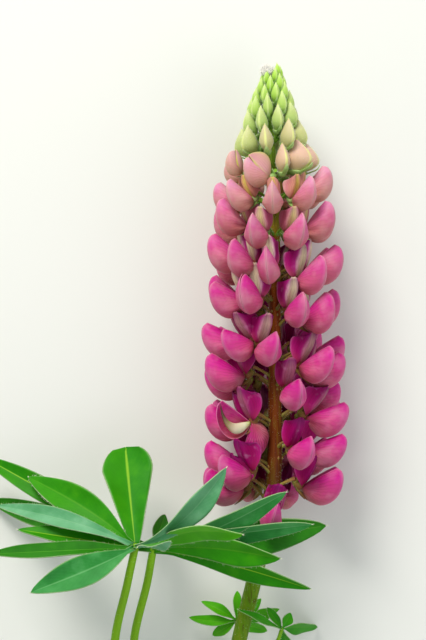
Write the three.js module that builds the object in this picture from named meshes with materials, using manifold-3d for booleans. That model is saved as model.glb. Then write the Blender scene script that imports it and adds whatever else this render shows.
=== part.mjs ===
// Lupin flower spike, as picked: a cut stem with ten whorls of pea flowers, a cone of closed buds
// and four palmate leaves, lying on a flat surface.
// Millimetres. +Y runs along the spike towards its tip, +Z is up from the surface, +X is to the right.
// The model is laid out from the stem at the lowest whorl and moved at the end, so that the origin is
// the middle of the bounding box at its base.

import * as THREE from 'three';
import Module from 'manifold-3d';
import { mergeVertices } from 'three/addons/utils/BufferGeometryUtils.js';

// ---------------------------------------------------------------- driving dimensions
const STEM_TOP_Y = 173.6; // end of the stem inside the tip buds
const COLLAR_GAP = 0.32; // clearance between the stem and what it carries
const COLLAR_WALL = 1.1;
const COLLAR_HEIGHT = 2.2;
const COLLAR_SIDES = 9;
const PEDICEL_RADIUS = 0.75;
const PEDICEL_END = 10; // distance of a flower's base from the spike axis
const LEAF_THICKNESS = 0.9;
const LEAF_SEAT = 0.3; // clearance between a leaflet and its hub

// stem centre line [x, y, z] and radius
const STEM_LINE = [
  [-27, -134, 3.2, 3.2],
  [-25, -112, 5.2, 3.15],
  [-20.5, -84, 11.5, 3.1],
  [-15.5, -58, 18.5, 3.05],
  [-12.4, -44, 21.8, 3.0],
  [-9.2, -31, 24.6, 2.95],
  [-5.2, -13, 27.4, 2.9],
  [-2.6, 0, 28.2, 2.85],
  [-0.8, 12, 28.4, 2.75],
  [0.2, 30, 28.4, 2.6],
  [0, 53, 28.4, 2.45],
  [0.1, 75, 28.5, 2.3],
  [-0.3, 88, 28.5, 2.2],
  [0, 112, 28.6, 2.0],
  [-0.8, 135, 28.8, 1.8],
  [-1.5, 150, 29.0, 1.6],
  [-1.8, 162, 29.3, 1.3],
  [-1.5, 173.6, 29.5, 0.9],
];

// whorls of flowers from the lowest up: [height, azimuths from the front, reach, size, hood]
// an azimuth of 0 faces straight up from the surface and 90 points to +X
const WHORLS = [
  [6.8, [-154, -108, -66, 2, 70, 112, 158], 28.2, 1.0, 0],
  [21.4, [-162, -122, -82, -38, 26, 78, 124, 172], 29.8, 1.0, 0],
  [36.2, [-160, -122, -84, -50, 77, 114, 154], 30.4, 1.0, 0],
  [50.8, [-142, -106, -74, 18, 84, 116, 146, 178], 30.2, 1.0, 0],
  [65.2, [-126, -86, -48, -4, 50, 98, 140, 176], 29.6, 1.0, 0],
  [79.8, [-152, -106, -64, -22, 18, 58, 104, 152], 28.2, 0.98, 0.1],
  [94.6, [-162, -120, -78, -42, -6, 43, 80, 118, 162], 27.0, 0.96, 0.2],
  [108.8, [-160, -112, -66, -20, 19, 64, 110, 158], 25.6, 0.92, 0.4],
  [121.8, [-136, -90, -48, -3, 38, 80, 122, 166], 23.4, 0.84, 0.7],
  [133.4, [-160, -112, -68, -28, 18, 60, 106, 152], 21.4, 0.78, 1],
];
const PRESSED_REACH = 1.6; // flowers on the underside spread this much further and are pressed flat
const PRESSED_AZIMUTH = 150;

// rings of buds: [height, count, first azimuth, distance of bud centre, length, width, lean]
const BUD_RINGS = [
  [143.9, 8, -12, 10.6, 12.0, 6.0, 22],
  [152.2, 8, -27, 8.4, 10.4, 4.6, 18],
  [158.8, 8, -6, 7.0, 8.8, 3.6, 15],
  [163.7, 8, 16, 5.8, 8.0, 3.0, 12],
  [168.2, 7, -14, 4.6, 7.2, 2.5, 9],
  [171.4, 6, 12, 3.2, 6.8, 2.1, 7],
];
const TIP_Y = 180.4;

// leaflets: [name, base, tip, width, widest place, arch, roll]
// arch lifts the middle of the leaflet, roll turns the blade about its length
const HUBS = {
  left: [-55, -10.2, 52],
  near: [-48.4, -12.6, 42],
  small: [-15.2, -44.5, 14.5],
  side: [3, -46.5, 24],
};
const LEAFLETS = {
  left: [
    ['back', [-61, 26.4, 26], 20, 0.74, 2, 4],
    ['upper', [-98.8, 15.2, 29], 12, 0.52, 5, 14],
    ['grey', [-112, 3.4, 24], 8, 0.55, 2, 50],
    ['lower', [-101.6, -4.2, 44], 7.6, 0.55, 1, 44],
    ['long_lower', [-111, -11.6, 64], 8, 0.5, 0, 50],
    ['front', [-94.3, -23, 77], 11.5, 0.5, 0, 20],
    ['pale', [-41, -4, 74], 8, 0.5, 0, 74],
    ['upright', [-19.6, 21, 58], 9.6, 0.6, 5, 30],
  ],
  near: [
    ['long_upper', [-119, 23, 18], 9, 0.6, 2, 14],
    ['outer', [-118, 3.4, 0.7], 10, 0.6, 1, 20],
    ['short', [-91.5, -9, 33], 7.4, 0.5, 2, 40],
    ['behind', [-44, -0.4, 24], 10, 0.5, 1, 20],
    ['over_flowers', [3.2, 12.4, 67], 9.6, 0.6, 5, 30],
    ['right', [13.6, -0.8, 55], 9, 0.62, 4, 36],
    ['right_dark', [20.2, -3.4, 38], 14, 0.6, 2, 12],
    ['bright', [-13.6, -2.8, 76], 10.5, 0.52, 5, 42],
    ['lower_bright', [1, -14.8, 65.5], 12, 0.6, 2, 28],
    ['lowest', [13.4, -28.4, 50], 9, 0.55, 2, 32],
  ],
  small: [
    ['left_upper', [-29.6, -37.2, 11], 5.2, 0.5, 2, 30],
    ['left', [-34.8, -44.6, 6], 6, 0.5, 2, 30],
    ['left_lower', [-25, -52, 6], 5.6, 0.5, 1, 20],
    ['up', [-14.8, -33.2, 9], 3.6, 0.6, 1, 20],
    ['up_right', [-5, -36, 12.5], 4.2, 0.6, 1, 20],
    ['right', [2.6, -41, 7.5], 5.4, 0.5, 1, 25],
    ['right_lower', [-2.4, -50.6, 4], 5.2, 0.5, 0.5, 20],
  ],
  side: [
    ['across', [-14.8, -37.6, 31], 4.2, 0.45, 1, 62],
    ['up', [-2.8, -38.4, 20], 3.8, 0.5, 0.5, 30],
    ['short', [6.6, -40.2, 23], 4.4, 0.6, 0.5, 20],
    ['right', [18.6, -49.6, 0.8], 6, 0.45, 2, 30],
    ['down', [6, -56, 14], 4.6, 0.5, 1, 25],
  ],
};
// petioles: [height of the joint on the stem, points towards the hub], and radii at the stem and at the hub
const PETIOLES = {
  left: [-118, [[-31.5, -113, 9], [-47, -100, 24], [-63, -77, 38], [-65.4, -50, 45], [-59.6, -25, 50.5]]],
  near: [-101, [[-28, -96.5, 12], [-42, -88, 21], [-55, -70, 29], [-57.2, -50, 35.5], [-51.6, -26, 40.6]]],
  small: [-70, [[-17.6, -63.5, 11.6], [-15.8, -56, 11.2], [-15.1, -49.5, 13.2]]],
  side: [-74, [[-14.2, -69.5, 19.0], [-6, -61.5, 22], [0.6, -52.6, 23.6]]],
};
const PETIOLE_RADII = { left: [2.2, 1.7], near: [1.9, 1.5], small: [0.9, 0.75], side: [0.9, 0.75] };
const HUB_SWELL = 1.9; // hub radius over the petiole's thin end

const COLOURS = {
  stem: 0x7a5a2c,
  whorl_old: 0xc9356f,
  whorl_young: 0xd77a92,
  bud: 0xb4cf6a,
  petiole: 0x6f9a2c,
  leaf: 0x3f8a3a,
};

// ---------------------------------------------------------------- helpers
const wasm = await Module();
wasm.setup();

const rad = THREE.MathUtils.degToRad;

function solid(geometry) {
  const bare = geometry.clone();
  bare.deleteAttribute('normal');
  bare.deleteAttribute('uv');
  const merged = mergeVertices(bare, 1e-4);
  const triVerts = faceOut(merged);
  return new wasm.Manifold(
    new wasm.Mesh({
      numProp: 3,
      vertProperties: new Float32Array(merged.attributes.position.array),
      triVerts,
    }),
  );
}

// the triangles of a closed geometry, turned over if they face inwards, without empty ones
function faceOut(geometry) {
  const index = Array.from(geometry.index.array);
  const [a, b, c] = [new THREE.Vector3(), new THREE.Vector3(), new THREE.Vector3()];
  const kept = [];
  let volume = 0;
  for (let i = 0; i < index.length; i += 3) {
    const [p, q, r] = index.slice(i, i + 3);
    if (p === q || q === r || r === p) {
      continue;
    }
    a.fromBufferAttribute(geometry.attributes.position, p);
    b.fromBufferAttribute(geometry.attributes.position, q);
    c.fromBufferAttribute(geometry.attributes.position, r);
    volume += a.dot(b.cross(c));
    kept.push(p, q, r);
  }
  if (volume < 0) {
    for (let i = 0; i < kept.length; i += 3) {
      [kept[i + 1], kept[i + 2]] = [kept[i + 2], kept[i + 1]];
    }
  }
  return new Uint32Array(kept);
}

function geometryOf(manifold) {
  const mesh = manifold.getMesh();
  const geometry = new THREE.BufferGeometry();
  geometry.setAttribute('position', new THREE.BufferAttribute(new Float32Array(mesh.vertProperties), 3));
  geometry.setIndex(new THREE.BufferAttribute(new Uint32Array(mesh.triVerts), 1));
  return geometry;
}

// moves every vertex of a geometry by a function of its position
function reshape(geometry, place) {
  const position = geometry.attributes.position;
  const v = new THREE.Vector3();
  for (let i = 0; i < position.count; i += 1) {
    v.fromBufferAttribute(position, i);
    place(v);
    position.setXYZ(i, v.x, v.y, v.z);
  }
  return geometry;
}

function between(table, s) {
  const last = table.length - 1;
  const at = Math.min(Math.max(s, 0), 1) * last;
  const i = Math.min(Math.floor(at), last - 1);
  return THREE.MathUtils.lerp(table[i], table[i + 1], at - i);
}

// centre and radius of the stem at a height along the spike
function stemAt(y) {
  let i = 0;
  while (i < STEM_LINE.length - 2 && STEM_LINE[i + 1][1] < y) {
    i += 1;
  }
  const [a, b] = [STEM_LINE[i], STEM_LINE[i + 1]];
  const t = (y - a[1]) / (b[1] - a[1]);
  const mix = (k) => THREE.MathUtils.lerp(a[k], b[k], t);
  return { x: mix(0), y, z: mix(2), radius: mix(3) };
}

// a round bar through points, with its own radius at each
function bar(points, radii, sides) {
  const through = points.map((p) => new THREE.Vector3(...p));
  const curve = new THREE.CatmullRomCurve3(through, false, 'centripetal');
  const steps = points.length - 1;
  const frames = curve.computeFrenetFrames(steps, false);
  const tube = new THREE.CylinderGeometry(1, 1, 1, sides, steps);
  return reshape(tube, (v) => {
    const s = v.y + 0.5;
    const i = Math.round(s * steps);
    const radius = between(radii, s) * Math.hypot(v.x, v.z);
    const angle = Math.atan2(v.x, v.z);
    const centre = curve.getPoint(i / steps);
    v.copy(centre);
    v.addScaledVector(frames.normals[i], radius * Math.cos(angle));
    v.addScaledVector(frames.binormals[i], -radius * Math.sin(angle));
  });
}

// one leaflet blade, folded along its midrib, from base to tip
function blade(base, tip, width, widest, arch, roll, stalk) {
  const from = new THREE.Vector3(...base);
  const to = new THREE.Vector3(...tip);
  const along = to.clone().sub(from);
  const length = along.length();
  along.normalize();
  const side = new THREE.Vector3().crossVectors(along, new THREE.Vector3(0, 0, 1)).normalize();
  side.applyAxisAngle(along, rad(roll));
  const up = new THREE.Vector3().crossVectors(side, along).normalize();
  const slab = new THREE.BoxGeometry(1, 1, 1, 2, 5, 1);
  return reshape(slab, (v) => {
    const s = v.y + 0.5;
    const rising = Math.pow(Math.sin((s / widest) * Math.PI * 0.5), 1.5);
    const falling = Math.pow(Math.cos(((s - widest) / (1 - widest)) * Math.PI * 0.5), 0.75);
    const half = Math.max(width * 0.5 * (s < widest ? rising : falling), stalk * 0.27);
    const across = v.x * 2 * half;
    const fold = Math.abs(across) * 0.28;
    const lift = arch * Math.sin(s * Math.PI);
    const thick = v.z * LEAF_THICKNESS * (stalk > 1 ? 1 : 0.65);
    v.copy(from).addScaledVector(along, s * length);
    v.addScaledVector(side, across);
    v.addScaledVector(up, fold + thick);
    v.z += lift;
  });
}

// ---------------------------------------------------------------- flowers
// Flower coordinates: x runs away from the spike axis, y up the spike, z around it.

// a closed body through stations: [x, y, tilt, half height above, half height below, half width]
function spindle(stations, sides) {
  const last = stations.length - 1;
  const ball = new THREE.SphereGeometry(1, sides, last);
  return reshape(ball, (v) => {
    const i = Math.round((Math.acos(THREE.MathUtils.clamp(v.y, -1, 1)) * last) / Math.PI);
    const [x, y, tilt, above, below, wide] = stations[i];
    const angle = Math.atan2(v.z, v.x);
    const up = Math.cos(angle);
    const height = i === 0 || i === last ? 0 : up * (up > 0 ? above : below);
    const width = i === 0 || i === last ? 0 : wide * Math.sin(angle);
    v.set(x - height * Math.sin(rad(tilt)), y + height * Math.cos(rad(tilt)), width);
  });
}

// a stalk that runs out into the pouch of the two wing petals, deep below a nearly straight upper edge
function stalkedPouch(start, base, length, breadth, width, tilt) {
  const along = (s, t, above, below, wide) => [
    base[0] + s * length * Math.cos(rad(tilt)) - t * breadth * Math.sin(rad(tilt)),
    base[1] + s * length * Math.sin(rad(tilt)) + t * breadth * Math.cos(rad(tilt)),
    tilt,
    above * breadth,
    below * breadth,
    wide * width,
  ];
  const slim = PEDICEL_RADIUS;
  return spindle(
    [
      [start, 0, 0, 0, 0, 0],
      [start + 0.05, 0, 0, slim, slim, slim],
      [base[0], base[1], tilt / 2, slim, slim, slim],
      along(0.2, 0, 0.2, 0.36, 0.36),
      along(0.5, 0, 0.36, 0.58, 0.5),
      along(0.84, 0.02, 0.32, 0.44, 0.4),
      along(1, 0.06, 0, 0, 0),
    ],
    6,
  );
}

// the standard petal: an oblong sheet folded back on both sides of its middle
function banner(height, depth, span, lean, base) {
  const slab = new THREE.BoxGeometry(1, 1, 1, 1, 1, 2);
  return reshape(slab, (v) => {
    const s = v.y + 0.5;
    const w = between([0.62, 0.95], s);
    const side = v.z * 2;
    v.set(-Math.abs(side) * depth * w * 0.75 + v.x * 1.6, s * height, side * span * 0.5 * w);
    v.applyAxisAngle(new THREE.Vector3(0, 0, 1), rad(-lean));
    v.x += base[0];
    v.y += base[1];
  });
}

function flower(reach, size, hood, start, index) {
  const base = PEDICEL_END * (0.55 + 0.45 * size);
  const rise = 1.4;
  const wobble = ((index * 37) % 7) / 7 - 0.5;
  const tilt = 21 + wobble * 6 + hood * 16;
  const length = (reach - base) / Math.cos(rad(tilt)) + 0.4;
  return [
    stalkedPouch(start, [base, rise], length, 11.2 * size, 9.4 * size, tilt),
    banner(11.4 * size, 4.6 * size, 5.2 * size, 12 + hood * 26, [base + 1.4, rise + 0.3]),
  ];
}

// turns a piece made in flower coordinates to its azimuth and place on the spike
function seat(geometry, azimuth, at) {
  const a = rad(azimuth);
  return reshape(geometry, (v) => {
    const out = v.x;
    const around = v.z;
    const up = v.y;
    v.set(
      at.x + out * Math.sin(a) + around * Math.cos(a),
      at.y + up,
      at.z + out * Math.cos(a) - around * Math.sin(a),
    );
  });
}

// a ring round the stem that carries one whorl
function collar(at, height, wall) {
  const inner = (at.radius + COLLAR_GAP) / Math.cos(Math.PI / COLLAR_SIDES);
  const outer = inner + wall;
  const profile = [
    new THREE.Vector2(inner, -height / 2),
    new THREE.Vector2(outer, -height / 2),
    new THREE.Vector2(outer, height / 2),
    new THREE.Vector2(inner, height / 2),
    new THREE.Vector2(inner, -height / 2),
  ];
  const ring = new THREE.LatheGeometry(profile, COLLAR_SIDES);
  ring.translate(at.x, at.y, at.z);
  return ring;
}

// takes away everything below the surface that the spike lies on
const under = new THREE.BoxGeometry(400, 600, 100);
under.translate(0, 0, -50);
const belowSurface = solid(under);

function join(geometries) {
  let whole = solid(geometries[0]);
  for (const geometry of geometries.slice(1)) {
    whole = whole.add(solid(geometry));
  }
  return whole;
}

function node(name, geometry, colour, roughness) {
  const material = new THREE.MeshStandardMaterial({ color: colour, roughness, metalness: 0 });
  const mesh = new THREE.Mesh(geometry, material);
  mesh.name = name;
  return mesh;
}

// ---------------------------------------------------------------- the plant
const lupin = new THREE.Group();
lupin.name = 'lupin';

const stemPath = STEM_LINE.map((p) => p.slice(0, 3));
const stem = bar(stemPath, STEM_LINE.map((p) => p[3]), 10);
const stemRoom = solid(bar(stemPath, STEM_LINE.map((p) => p[3] + LEAF_SEAT), 10));
lupin.add(node('stem', geometryOf(solid(stem).subtract(belowSurface)), COLOURS.stem, 0.7));

WHORLS.forEach(([y, azimuths, reach, size, hood], k) => {
  const at = stemAt(y);
  const pieces = [collar(at, COLLAR_HEIGHT, COLLAR_WALL)];
  azimuths.forEach((azimuth, j) => {
    const start = at.radius + COLLAR_GAP + COLLAR_WALL * 0.4;
    const pressed = Math.abs(azimuth) > PRESSED_AZIMUTH ? PRESSED_REACH : 0;
    for (const piece of flower(reach + pressed, size, hood, start, j + k)) {
      pieces.push(seat(piece, azimuth, at));
    }
  });
  const colour = k < 6 ? COLOURS.whorl_old : COLOURS.whorl_young;
  const name = `whorl_${String(k + 1).padStart(2, '0')}`;
  lupin.add(node(name, geometryOf(join(pieces).subtract(belowSurface)), colour, 0.6));
});

// a bud: a pointed teardrop standing nearly upright on a short stalk
function bud(distance, length, width, lean, start) {
  const out = Math.sin(rad(lean));
  const up = Math.cos(rad(lean));
  const ring = (s, half) => [
    distance + (s - 0.4) * length * out,
    0.9 + s * length * up,
    90 - lean,
    half * width,
    half * width,
    half * width,
  ];
  const stations = [
    [start, 0, 0, 0, 0, 0],
    [start + 0.05, 0, 0, 0.5, 0.5, 0.5],
    ring(0.04, 0.22),
    ring(0.4, 0.5),
    ring(0.72, 0.34),
    ring(1, 0),
  ];
  return spindle(stations, 5);
}

BUD_RINGS.forEach(([y, count, first, distance, length, width, lean], k) => {
  const at = stemAt(y);
  const wall = 0.7;
  const pieces = [collar(at, 1.3, wall)];
  for (let j = 0; j < count; j += 1) {
    const piece = bud(distance, length, width, lean, at.radius + COLLAR_GAP + wall * 0.4);
    pieces.push(seat(piece, first + (j * 360) / count, at));
  }
  lupin.add(node(`bud_ring_${k + 1}`, geometryOf(join(pieces)), COLOURS.bud, 0.65));
});

// the youngest buds, still packed into one point over the end of the stem
const tipAt = stemAt(STEM_TOP_Y);
const tipProfile = [
  new THREE.Vector2(0, STEM_TOP_Y + 0.3),
  new THREE.Vector2(1.1, STEM_TOP_Y + 0.4),
  new THREE.Vector2(1.9, STEM_TOP_Y + 2.6),
  new THREE.Vector2(1.6, STEM_TOP_Y + 5),
  new THREE.Vector2(0.7, TIP_Y - 1.2),
  new THREE.Vector2(0, TIP_Y),
];
const tip = new THREE.LatheGeometry(tipProfile, 8);
tip.translate(tipAt.x, 0, tipAt.z);
lupin.add(node('spike_tip', geometryOf(solid(tip)), COLOURS.bud, 0.8));

// leaves: a petiole ending in a small hub, and leaflets spread round the hub
for (const leaf of Object.keys(HUBS)) {
  const hub = new THREE.Vector3(...HUBS[leaf]);
  const [thick, thin] = PETIOLE_RADII[leaf];
  const [joint, points] = PETIOLES[leaf];
  const foot = stemAt(joint);
  const path = [[foot.x, foot.y, foot.z], ...points, HUBS[leaf]];
  const radii = path.map((_, i) => THREE.MathUtils.lerp(thick, thin, i / (path.length - 1)));
  const knob = new THREE.SphereGeometry(thin * HUB_SWELL, 8, 6);
  knob.translate(hub.x, hub.y, hub.z);
  const stalk = join([bar(path, radii, 8), knob]).subtract(stemRoom);
  lupin.add(node(`petiole_${leaf}`, geometryOf(stalk), COLOURS.petiole, 0.6));
  for (const [name, end, width, widest, arch, roll] of LEAFLETS[leaf]) {
    const aim = new THREE.Vector3(...end).add(new THREE.Vector3(0, 0, arch * 2.5));
    const direction = aim.sub(hub).normalize();
    const base = hub.clone().addScaledVector(direction, thin * HUB_SWELL + LEAF_SEAT);
    const shape = blade(base.toArray(), end, width, widest, arch, roll, thin);
    const kept = geometryOf(solid(shape).subtract(belowSurface));
    lupin.add(node(`leaflet_${leaf}_${name}`, kept, COLOURS.leaf, 0.55));
  }
}

// origin: middle of the bounding box, at its base
const box = new THREE.Box3().setFromObject(lupin);
const middle = box.getCenter(new THREE.Vector3());
lupin.position.set(-middle.x, -middle.y, -box.min.z);
lupin.updateMatrixWorld(true);

export default lupin;
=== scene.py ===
"""Lupin flower spike, picked and laid down: stem, whorls of pea flowers, cone of buds and four leaves."""
import random
from math import acos, atan2, copysign, cos, exp, hypot, pi, radians, sin, tau

import bpy
from mathutils import Matrix, Vector


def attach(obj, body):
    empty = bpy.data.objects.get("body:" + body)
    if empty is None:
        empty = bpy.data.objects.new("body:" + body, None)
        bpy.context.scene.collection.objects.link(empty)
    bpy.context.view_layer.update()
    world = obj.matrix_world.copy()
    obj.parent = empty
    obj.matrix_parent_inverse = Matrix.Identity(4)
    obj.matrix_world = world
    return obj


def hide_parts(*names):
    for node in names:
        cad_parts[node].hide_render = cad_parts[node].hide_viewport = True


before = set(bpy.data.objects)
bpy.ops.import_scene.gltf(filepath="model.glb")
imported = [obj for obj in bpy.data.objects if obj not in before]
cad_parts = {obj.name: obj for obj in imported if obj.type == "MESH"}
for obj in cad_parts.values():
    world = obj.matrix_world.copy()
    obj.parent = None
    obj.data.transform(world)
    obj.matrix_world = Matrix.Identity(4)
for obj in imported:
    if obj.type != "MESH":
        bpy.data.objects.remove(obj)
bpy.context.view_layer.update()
rng = random.Random(41)

MM = 0.001
# from the stem at the lowest whorl to the origin under the middle of the part, in millimetres
ORIGIN_X = 44.529
ORIGIN_Y = -22.999

# stem centre line: x, y, z, radius
STEM_LINE = (
    (-27, -134, 3.2, 3.2), (-25, -112, 5.2, 3.15), (-20.5, -84, 11.5, 3.1), (-15.5, -58, 18.5, 3.05),
    (-12.4, -44, 21.8, 3.1), (-9.2, -31, 24.6, 3.1), (-5.2, -13, 27.4, 3.1), (-2.6, 0, 28.2, 3.15),
    (-0.8, 12, 28.4, 3.1), (0.2, 30, 28.4, 2.85), (0, 53, 28.4, 2.55), (0.1, 75, 28.5, 2.35),
    (-0.3, 88, 28.5, 2.2), (0, 112, 28.6, 2.0), (-0.8, 135, 28.8, 1.8), (-1.5, 150, 29.0, 1.6),
    (-1.8, 162, 29.3, 1.3), (-1.5, 173.6, 29.5, 0.9),
)
# whorls from the lowest up: height, size, age (1 full-blown, 0 bud), usual pattern and flowers, each with its
# azimuth from straight up, the lift of its wings' claw over the whorl, its pitch and, where it is unlike the
# others, its own pattern and how far it is turned aside
WHORLS = (
    (6.8, 1.0, 1.0, "old", (
        (2, -6, 0), (72, 5.4, 3, "wide"), (-68, 2.6, -6), (-106, -0.6, 0),
        (112, 5, 0), (158, 0, 2), (-152, 1.6, 0))),
    (21.4, 1.0, 1.0, "old", (
        (28, 5.6, -9), (79, 5.4, -7), (-51, -4.8, -5), (-84, -1.4, 0),
        (-118, -4, 0), (126, 1, 0), (172, 0, 4), (-160, 2, 0))),
    (36.2, 1.0, 0.95, "old", (
        (77, 2.6, -9), (-54, 1.2, 2, "burst"), (-84, -0.6, 2), (114, 1.5, 0),
        (154, 0, 4), (-122, 1, 0), (-162, 1, 4))),
    (50.8, 1.0, 0.92, "old", (
        (18, 0.2, -16), (-75, 4.8, 2), (-104, 1.6, -4), (84, 5.6, 3),
        (108, -6, 0), (144, 1, 2), (-142, 0, 2), (178, 1, 5))),
    (65.2, 1.0, 0.88, "open", (
        (50, -5.4, 0), (-31, 2.8, -12, "open", 52), (-48, 4.2, -13), (-86, 4.0, -4),
        (98, -2.4, 4), (140, 0, 3), (-126, 1, 2), (176, 1, 6))),
    (79.8, 0.98, 0.78, "open", (
        (24, 2, -7), (58, -3.0, 13, "wide"), (-64, 6, -3), (-31, 6.5, 6, "wide"),
        (-106, 6, 10), (104, 0, 8), (150, 0, 6), (-150, 0, 6))),
    (94.6, 0.97, 0.66, "open", (
        (44, -0.8, 6), (78, 2.6, 12), (-43, 5.4, 6), (-76, 6.6, 10),
        (-9, 3.2, 3), (116, 2, 10), (160, 1, 8), (-120, 2, 10))),
    (108.8, 0.93, 0.5, "young", (
        (23, 3.0, 0), (65, 4.6, 17), (-24, 3.4, 0), (-66, 6.8, 18),
        (110, 4, 18), (156, 3, 14), (-112, 4, 18), (-160, 3, 14))),
    (121.8, 0.84, 0.34, "young", (
        (39, 3.2, 10), (77, 5.8, 20), (-48, 4.2, 8), (-88, 2.4, 15),
        (-3, 2.6, 6), (122, 4, 20), (166, 3, 18), (-134, 3, 20))),
    (133.4, 0.78, 0.2, "shut", (
        (-66, 3.6, 40, "closed"), (-9, 1.0, 12, "parting", -52), (22, 2.8, 50),
        (56, 3.4, 46, "swollen"), (88, 3.2, 42, "swollen"), (146, 1, 38), (-112, 1, 40, "closed"),
        (-158, 1, 38))),
)
# rings of buds: height, count, first azimuth, distance of the bud, length, width, depth, lean, age
BUD_RINGS = (
    (143.7, 8, -10, 10.4, 12.8, 5.5, 8.3, 20, 0.78),
    (151.3, 8, -28, 8.4, 12.0, 4.7, 6.2, 16, 0.5),
    (157.4, 8, -8, 6.9, 10.6, 4.0, 4.9, 14, 0.3),
    (162.7, 8, 17, 5.5, 8.8, 3.5, 4.0, 11, 0.16),
    (167.0, 7, -8, 4.4, 7.8, 3.1, 3.3, 9, 0.08),
    (170.8, 6, 24, 3.1, 7.0, 2.7, 2.8, 7, 0.0),
)
# where the blades of each leaf meet
HUBS = {
    "left": (-55, -10.2, 52),
    "near": (-48.4, -12.6, 42),
    "small": (-15.2, -44.5, 14.5),
    "side": (3, -46.5, 24),
}
# leaflets: name, tip, width, widest place, arch, roll, and what the face and the back show
LEAFLETS = {
    "left": (
        ("back", (-60, 27, 26), 19, 0.74, 2, 4, "under/top"),
        ("upper", (-98.8, 15.2, 29), 12, 0.52, 5, 14, "fresh/top"),
        ("grey", (-112, 3.4, 24), 7.0, 0.55, 12, 30, "bloom/under"),
        ("lower", (-101.6, -4.2, 44), 7.6, 0.55, 1, 44, "under/top"),
        ("long_lower", (-111, -11.6, 64), 8, 0.5, 0, 50, "mixed/under"),
        ("front", (-93.4, -24.4, 77), 11.5, 0.5, 0, 20, "top/under"),
        ("pale", (-41, -5.6, 74), 9, 0.5, 0, 66, "bloom/under"),
        ("upright", (-19.6, 21, 58), 9.6, 0.6, 5, 30, "bloom/under"),
    ),
    "near": (
        ("long_upper", (-119, 23, 18), 9, 0.6, 2, 14, "under/top"),
        ("outer", (-118, 3.4, 0.7), 10, 0.6, 1, 20, "mixed/under"),
        ("short", (-91.5, -9, 33), 7.4, 0.5, 2, 40, "mixed/under"),
        ("behind", (-44, -0.4, 24), 6.4, 0.5, 1, 20, "mixed/under"),
        ("over_flowers", (3.2, 12.4, 67), 9.6, 0.6, 5, 30, "top/under"),
        ("right", (13.6, -0.8, 58.5), 9, 0.62, 6.5, 36, "top/under"),
        ("right_dark", (20.2, -3.4, 38), 14, 0.6, 2, 12, "mixed/under"),
        ("bright", (-13.6, -2.8, 76), 10.5, 0.52, 5, 42, "lit/top"),
        ("lower_bright", (1, -13.2, 65.5), 11, 0.6, 2, 28, "fresh/top"),
        ("lowest", (13.4, -27, 50), 8.4, 0.55, 2, 32, "under/top"),
    ),
    "small": (
        ("left_upper", (-29.6, -37.2, 11), 4.2, 0.5, 2, 30, "lit/under"),
        ("left", (-34.8, -44.6, 6), 4.4, 0.5, 2, 30, "lit/top"),
        ("left_lower", (-25, -52, 6), 4.6, 0.5, 1, 20, "lit/under"),
        ("up", (-14.8, -33.2, 9), 3.6, 0.6, 1, 20, "lit/under"),
        ("up_right", (-5, -36, 12.5), 4.2, 0.6, 1, 20, "lit/under"),
        ("right", (2.6, -41, 7.5), 5.4, 0.5, 1, 25, "lit/under"),
        ("right_lower", (-2.4, -50.6, 4), 5.2, 0.5, 0.5, 20, "lit/under"),
    ),
    "side": (
        ("across", (-14.8, -37.6, 31), 4.2, 0.45, 1, 62, "fresh/under"),
        ("up", (-2.8, -38.4, 20), 3.8, 0.5, 0.5, 30, "fresh/under"),
        ("short", (6.6, -40.2, 23), 4.4, 0.6, 0.5, 20, "fresh/under"),
        ("right", (18.6, -49.6, 0.8), 6, 0.45, 2, 30, "fresh/under"),
        ("down", (6, -56, 14), 4.6, 0.5, 1, 25, "fresh/under"),
    ),
}
# leaf stalks: where along the stem each starts, its points and its radius at both ends
PETIOLES = {
    "left": (-118, ((-31.5, -113, 9), (-47, -100, 24), (-61, -77, 38), (-63.4, -50, 45), (-58.2, -25, 50.5))),
    "near": (
        -101, ((-28, -96.5, 12), (-42, -88, 21), (-54.2, -70, 29), (-56.2, -50, 35.5), (-50.8, -26, 40.6))),
    "small": (-70, ((-17.6, -63.5, 11.6), (-15.8, -56, 11.2), (-15.1, -49.5, 13.2))),
    "side": (-74, ((-14.2, -69.5, 19.0), (-6, -61.5, 22), (0.6, -52.6, 23.6))),
}
PETIOLE_RADII = {"left": (2.0, 1.5), "near": (1.9, 1.5), "small": (0.9, 0.75), "side": (0.9, 0.75)}
# how much wider than its stalk a hub is
HUB_SWELL = 1.02
# how far some blades swing to one side in plan, in millimetres to the left of the way to the tip
SWING = {
    "left_upper": -2.5, "left_grey": -3.6, "left_front": 0.8, "left_upright": -3.8, "near_bright": 5.2,
    "near_lower_bright": 2.6, "near_lowest": 2.0, "near_over_flowers": -1.6, "near_right": 2.0,
    "small_left_upper": -0.8, "small_left": 0.6, "side_right": 0.8,
}
# radius of a hair at its foot: most hairs, the fringe of two blades, the brush at a blade's tip, the wool
HAIR_THICK, FRINGE_THICK, BRUSH_THICK, WOOL_THICK = 0.035, 0.06, 0.07, 0.14
# points closer than WELD are joined, and no point is lower than LOWEST over the surface
WELD, LOWEST = 0.004, 0.02


# ---------------- curves and tables
def along(table, s):
    """Smooth value of a table of (place, value) at s."""
    if s <= table[0][0]:
        return table[0][1]
    if s >= table[-1][0]:
        return table[-1][1]
    i = max(k for k in range(len(table) - 1) if table[k][0] <= s)

    def slope(k):
        before, after = table[max(k - 1, 0)], table[min(k + 1, len(table) - 1)]
        return (after[1] - before[1]) / (after[0] - before[0])

    (x0, y0), (x1, y1) = table[i], table[i + 1]
    span = x1 - x0
    t = (s - x0) / span
    return (
        (2 * t**3 - 3 * t**2 + 1) * y0 + (t**3 - 2 * t**2 + t) * span * slope(i)
        + (3 * t**2 - 2 * t**3) * y1 + (t**3 - t**2) * span * slope(i + 1)
    )


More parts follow.
